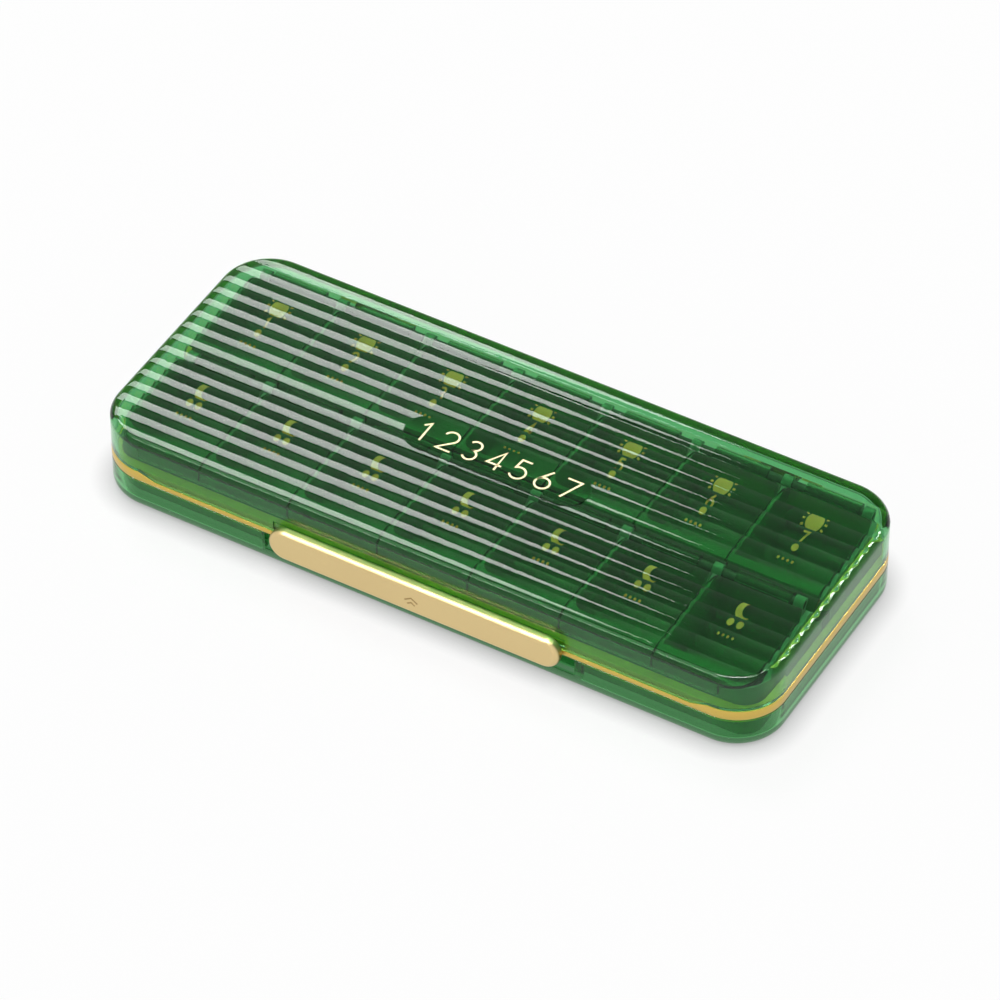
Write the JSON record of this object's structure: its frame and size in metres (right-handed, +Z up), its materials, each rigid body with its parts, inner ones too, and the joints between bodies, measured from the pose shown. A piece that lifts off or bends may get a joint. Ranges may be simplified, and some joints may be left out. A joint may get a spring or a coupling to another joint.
{
  "type": "travel pill box",
  "caption": "Flat weekly travel pill box: translucent green case with a ribbed flip lid, gilt mid frame and front flap latch over two rows of separately lidded cells.",
  "frame": {"origin": "on the table under the middle of the case", "axes": "+X along the case, +Y from the latch to the hinge, +Z up out of the lid"},
  "size_m": [0.175, 0.076, 0.0216],
  "materials": {
    "case_green": "clear emerald-tinted moulding, polished",
    "tray_green": "clear emerald-tinted moulding",
    "cell_lid_green": "clear emerald-tinted moulding with gilt print",
    "frame_gold": "gold, satin",
    "latch_champagne": "champagne, fine satin",
    "pin_steel": "drawn"
  },
  "bodies": {
    "base": {"base_shell": "case_green", "mid_frame": "frame_gold", "am_tray": "tray_green", "am_rod": "pin_steel", "pm_tray": "tray_green", "pm_rod": "pin_steel", "hinge_pin_left": "pin_steel", "hinge_pin_right": "pin_steel"},
    "case_lid": {"lid_shell": "case_green"},
    "latch": {"latch_bar": "latch_champagne", "latch_pin": "pin_steel"},
    "am_lid_1": {"am_lid_1": "cell_lid_green"},
    "am_lid_2": {"am_lid_2": "cell_lid_green"},
    "am_lid_3": {"am_lid_3": "cell_lid_green"},
    "am_lid_4": {"am_lid_4": "cell_lid_green"},
    "am_lid_5": {"am_lid_5": "cell_lid_green"},
    "am_lid_6": {"am_lid_6": "cell_lid_green"},
    "am_lid_7": {"am_lid_7": "cell_lid_green"},
    "pm_lid_1": {"pm_lid_1": "cell_lid_green"},
    "pm_lid_2": {"pm_lid_2": "cell_lid_green"},
    "pm_lid_3": {"pm_lid_3": "cell_lid_green"},
    "pm_lid_4": {"pm_lid_4": "cell_lid_green"},
    "pm_lid_5": {"pm_lid_5": "cell_lid_green"},
    "pm_lid_6": {"pm_lid_6": "cell_lid_green"},
    "pm_lid_7": {"pm_lid_7": "cell_lid_green"}
  },
  "joints": [
    {"name": "case_lid_hinge", "type": "hinge", "parent": "base", "child": "case_lid", "pos_m": [0, 0.0361, 0.01005], "axis": [-1, 0, 0], "range_deg": [0, 120]},
    {"name": "latch_flip", "type": "hinge", "parent": "case_lid", "child": "latch", "pos_m": [0, -0.0369, 0.0123], "axis": [-1, 0, 0], "range_deg": [0, 80]},
    {"name": "am_lid_1_hinge", "type": "hinge", "parent": "base", "child": "am_lid_1", "pos_m": [0, 0.0302, 0.0173], "axis": [-1, 0, 0], "range_deg": [0, 100]},
    {"name": "am_lid_2_hinge", "type": "hinge", "parent": "base", "child": "am_lid_2", "pos_m": [0, 0.0302, 0.0173], "axis": [-1, 0, 0], "range_deg": [0, 100]},
    {"name": "am_lid_3_hinge", "type": "hinge", "parent": "base", "child": "am_lid_3", "pos_m": [0, 0.0302, 0.0173], "axis": [-1, 0, 0], "range_deg": [0, 100]},
    {"name": "am_lid_4_hinge", "type": "hinge", "parent": "base", "child": "am_lid_4", "pos_m": [0, 0.0302, 0.0173], "axis": [-1, 0, 0], "range_deg": [0, 100]},
    {"name": "am_lid_5_hinge", "type": "hinge", "parent": "base", "child": "am_lid_5", "pos_m": [0, 0.0302, 0.0173], "axis": [-1, 0, 0], "range_deg": [0, 100]},
    {"name": "am_lid_6_hinge", "type": "hinge", "parent": "base", "child": "am_lid_6", "pos_m": [0, 0.0302, 0.0173], "axis": [-1, 0, 0], "range_deg": [0, 100]},
    {"name": "am_lid_7_hinge", "type": "hinge", "parent": "base", "child": "am_lid_7", "pos_m": [0, 0.0302, 0.0173], "axis": [-1, 0, 0], "range_deg": [0, 100]},
    {"name": "pm_lid_1_hinge", "type": "hinge", "parent": "base", "child": "pm_lid_1", "pos_m": [0, -0.0026, 0.0173], "axis": [-1, 0, 0], "range_deg": [0, 100]},
    {"name": "pm_lid_2_hinge", "type": "hinge", "parent": "base", "child": "pm_lid_2", "pos_m": [0, -0.0026, 0.0173], "axis": [-1, 0, 0], "range_deg": [0, 100]},
    {"name": "pm_lid_3_hinge", "type": "hinge", "parent": "base", "child": "pm_lid_3", "pos_m": [0, -0.0026, 0.0173], "axis": [-1, 0, 0], "range_deg": [0, 100]},
    {"name": "pm_lid_4_hinge", "type": "hinge", "parent": "base", "child": "pm_lid_4", "pos_m": [0, -0.0026, 0.0173], "axis": [-1, 0, 0], "range_deg": [0, 100]},
    {"name": "pm_lid_5_hinge", "type": "hinge", "parent": "base", "child": "pm_lid_5", "pos_m": [0, -0.0026, 0.0173], "axis": [-1, 0, 0], "range_deg": [0, 100]},
    {"name": "pm_lid_6_hinge", "type": "hinge", "parent": "base", "child": "pm_lid_6", "pos_m": [0, -0.0026, 0.0173], "axis": [-1, 0, 0], "range_deg": [0, 100]},
    {"name": "pm_lid_7_hinge", "type": "hinge", "parent": "base", "child": "pm_lid_7", "pos_m": [0, -0.0026, 0.0173], "axis": [-1, 0, 0], "range_deg": [0, 100]}
  ],
  "couplings": [
    {"joint": "am_lid_1_hinge", "follows": "case_lid_hinge", "ratio": 0.8333},
    {"joint": "am_lid_2_hinge", "follows": "case_lid_hinge", "ratio": 0.8333},
    {"joint": "am_lid_3_hinge", "follows": "case_lid_hinge", "ratio": 0.8333},
    {"joint": "am_lid_4_hinge", "follows": "case_lid_hinge", "ratio": 0.8333},
    {"joint": "am_lid_5_hinge", "follows": "case_lid_hinge", "ratio": 0.8333},
    {"joint": "am_lid_6_hinge", "follows": "case_lid_hinge", "ratio": 0.8333},
    {"joint": "am_lid_7_hinge", "follows": "case_lid_hinge", "ratio": 0.8333},
    {"joint": "pm_lid_1_hinge", "follows": "case_lid_hinge", "ratio": 0.8333},
    {"joint": "pm_lid_2_hinge", "follows": "case_lid_hinge", "ratio": 0.8333},
    {"joint": "pm_lid_3_hinge", "follows": "case_lid_hinge", "ratio": 0.8333},
    {"joint": "pm_lid_4_hinge", "follows": "case_lid_hinge", "ratio": 0.8333},
    {"joint": "pm_lid_5_hinge", "follows": "case_lid_hinge", "ratio": 0.8333},
    {"joint": "pm_lid_6_hinge", "follows": "case_lid_hinge", "ratio": 0.8333},
    {"joint": "pm_lid_7_hinge", "follows": "case_lid_hinge", "ratio": 0.8333}
  ]
}
